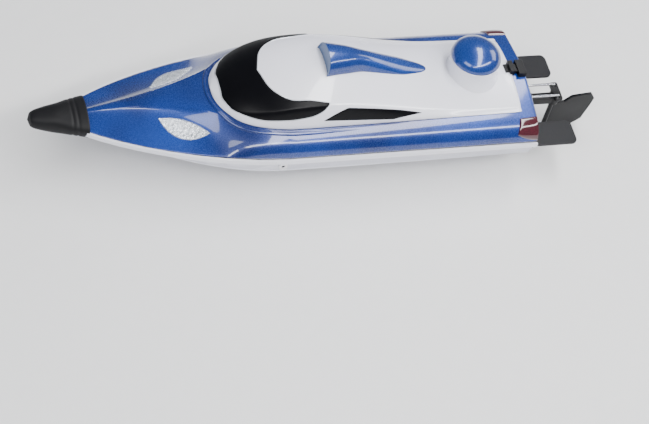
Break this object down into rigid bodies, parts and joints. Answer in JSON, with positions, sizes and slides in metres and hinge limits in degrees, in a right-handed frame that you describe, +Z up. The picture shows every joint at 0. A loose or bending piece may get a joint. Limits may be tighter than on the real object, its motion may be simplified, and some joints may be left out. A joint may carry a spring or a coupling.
{
  "type": "radio controlled boat",
  "caption": "Radio controlled racing boat: deep-V hull, blue deck, white lift-off cabin, inner hatch, inclined shaft drive, rudder and trim tabs.",
  "frame": {"origin": "middle of the bounding box on the plane of its lowest point, under the boat", "axes": "+X to the bow, +Y to port, +Z up from the waterline"},
  "size_m": [0.48, 0.119, 0.1091],
  "materials": {
    "hull_white": "pearl gloss",
    "cabin_white": "pearl gloss",
    "deck_blue": "metallic candy blue",
    "black_rubber": "moulded rubber",
    "clear_lens": "clear polished",
    "silver_reflector": "bright foil",
    "dark_red_lens": "dark red gloss",
    "window_black": "polished black",
    "inner_plastic": "moulded",
    "black_plastic": "satin moulded",
    "brass_tube": "drawn",
    "bright_steel": "polished",
    "motor_steel": "plated can",
    "jacket_aluminium": "anodised",
    "tab_grey": "satin moulded",
    "battery_wrap": "shrink wrap",
    "strap_fabric": "woven hook and loop",
    "board_case": "moulded",
    "foam": "closed-cell foam",
    "hose_silicone": "translucent silicone"
  },
  "bodies": {
    "hull": {"lower_hull": "hull_white", "hull_seal": "black_rubber", "deck_shell": "deck_blue", "bow_bumper": "black_rubber", "headlight_lens_left": "clear_lens", "headlight_lens_right": "clear_lens", "headlight_reflectors": "silver_reflector", "tail_lamp_left": "dark_red_lens", "tail_lamp_right": "dark_red_lens", "latch_housing": "black_plastic", "stuffing_tube": "brass_tube", "shaft_bushes": "brass_tube", "motor_can": "motor_steel", "motor_end_cap": "black_plastic", "cooling_jacket": "jacket_aluminium", "motor_mount": "jacket_aluminium", "machine_screws": "bright_steel", "rudder_bracket": "black_plastic", "pushrod_bellows": "black_rubber", "steering_servo": "black_plastic", "servo_mount": "inner_plastic", "trim_brackets": "black_plastic", "trim_pins": "bright_steel", "battery_tray": "inner_plastic", "battery_pack": "battery_wrap", "battery_strap": "strap_fabric", "equipment_shelves": "inner_plastic", "speed_controller": "board_case", "receiver_box": "board_case", "foam_float": "foam", "water_outlet": "bright_steel", "water_pickup": "bright_steel", "cooling_hose_out": "hose_silicone", "cooling_hose_in": "hose_silicone", "water_contacts": "bright_steel"},
    "lid": {"cabin_lid": "cabin_white", "windshield": "window_black", "side_windows": "window_black", "radar_pedestal": "cabin_white", "radar_dome": "deck_blue", "roof_scoop": "deck_blue"},
    "hatch": {"hatch_cover": "inner_plastic", "hatch_seal": "black_rubber"},
    "front_knob": {"hatch_knob_front": "black_plastic"},
    "rear_knob": {"hatch_knob_rear": "black_plastic"},
    "latch": {"cabin_latch": "black_plastic"},
    "drive": {"drive_shaft": "bright_steel", "propeller": "black_plastic", "propeller_nut": "bright_steel", "shaft_coupling": "bright_steel", "motor_shaft": "bright_steel"},
    "rudder": {"rudder": "black_plastic", "tiller": "black_plastic"},
    "servo_arm": {"servo_horn": "black_plastic", "servo_output": "brass_tube"},
    "left_rod": {"pushrod_left": "bright_steel"},
    "right_rod": {"pushrod_right": "bright_steel"},
    "left_tab": {"trim_tab_left": "tab_grey"},
    "right_tab": {"trim_tab_right": "tab_grey"}
  },
  "joints": [
    {"name": "lid_lift", "type": "slide", "parent": "hull", "child": "lid", "axis": [0, 0, 1], "range_m": [0, 0.08]},
    {"name": "hatch_lift", "type": "slide", "parent": "hull", "child": "hatch", "axis": [0, 0, 1], "range_m": [0, 0.04]},
    {"name": "front_knob_turn", "type": "hinge", "parent": "hatch", "child": "front_knob", "pos_m": [0.017, 0, 0.064], "axis": [0, 0, 1], "range_deg": [0, 90]},
    {"name": "rear_knob_turn", "type": "hinge", "parent": "hatch", "child": "rear_knob", "pos_m": [-0.087, 0, 0.064], "axis": [0, 0, 1], "range_deg": [0, 90]},
    {"name": "latch_press", "type": "slide", "parent": "hull", "child": "latch", "axis": [1, 0, 0], "range_m": [-0.0025, 0], "stiffness_N_per_m": 300},
    {"name": "prop_spin", "type": "hinge", "parent": "hull", "child": "drive", "pos_m": [-0.166, 0, 0.0175], "axis": [0.9945, 0, 0.1045], "continuous": true},
    {"name": "rudder_turn", "type": "hinge", "parent": "hull", "child": "rudder", "pos_m": [-0.203, 0, 0.03], "axis": [0, 0, 1], "range_deg": [-30, 30]},
    {"name": "servo_turn", "type": "hinge", "parent": "hull", "child": "servo_arm", "pos_m": [-0.117, 0, 0.04], "axis": [0, 0, 1], "range_deg": [-30, 30]},
    {"name": "left_rod_slide", "type": "slide", "parent": "hull", "child": "left_rod", "axis": [1, 0, 0], "range_m": [-0.0033, 0.0033]},
    {"name": "right_rod_slide", "type": "slide", "parent": "hull", "child": "right_rod", "axis": [1, 0, 0], "range_m": [-0.0033, 0.0033]},
    {"name": "left_tab_tilt", "type": "hinge", "parent": "hull", "child": "left_tab", "pos_m": [-0.1696, 0.036, 0.03296], "axis": [0, 1, 0], "range_deg": [-8, 8]},
    {"name": "right_tab_tilt", "type": "hinge", "parent": "hull", "child": "right_tab", "pos_m": [-0.1696, -0.036, 0.03296], "axis": [0, 1, 0], "range_deg": [-8, 8]}
  ],
  "couplings": [
    {"joint": "hatch_lift", "follows": "lid_lift", "ratio": 0.5},
    {"joint": "servo_turn", "follows": "rudder_turn", "ratio": 1},
    {"joint": "left_rod_slide", "follows": "rudder_turn", "m_per_rad": -0.006},
    {"joint": "right_rod_slide", "follows": "rudder_turn", "m_per_rad": 0.006}
  ]
}
